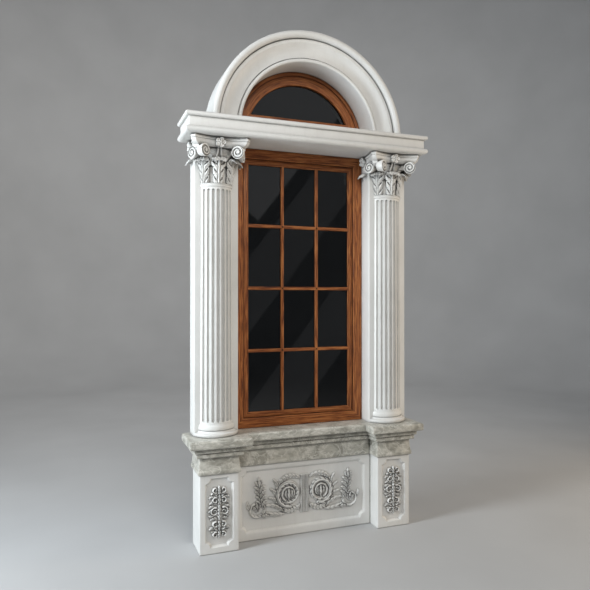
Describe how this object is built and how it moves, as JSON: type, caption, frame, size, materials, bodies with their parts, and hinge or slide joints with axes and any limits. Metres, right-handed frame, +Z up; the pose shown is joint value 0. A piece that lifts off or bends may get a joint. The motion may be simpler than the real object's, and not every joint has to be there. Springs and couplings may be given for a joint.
{
  "type": "window surround",
  "caption": "Classical surround of a tall arched window: carved pedestals, marble sill, engaged fluted columns with leafed capitals, lintel, arch and glazed timber window.",
  "frame": {"origin": "on the ground, under the middle of the whole", "axes": "+Z up, -Y out of the wall towards the street, +X to the right as seen from the street"},
  "size_m": [2.24, 0.439, 4.436],
  "materials": {
    "painted_stone": "satin paint on cut stone, weathered in the hollows",
    "marble": "honed grey-beige marble with pale streaks",
    "timber": "varnished reddish brown timber",
    "glass": "polished, dark tinted"
  },
  "bodies": {
    "root": {"pedestal_left": "painted_stone", "pedestal_right": "painted_stone", "apron_panel": "painted_stone", "pilaster_left": "painted_stone", "pilaster_right": "painted_stone", "column_base_left": "painted_stone", "column_base_right": "painted_stone", "column_shaft_left": "painted_stone", "column_shaft_right": "painted_stone", "capital_left": "painted_stone", "capital_right": "painted_stone", "entablature": "painted_stone", "archivolt": "painted_stone", "pedestal_cap_left": "marble", "pedestal_cap_right": "marble", "window_sill": "marble", "window_frame": "timber", "window_sash": "timber", "fanlight_frame": "timber", "window_glass": "glass", "fanlight_glass": "glass"}
  },
  "joints": []
}
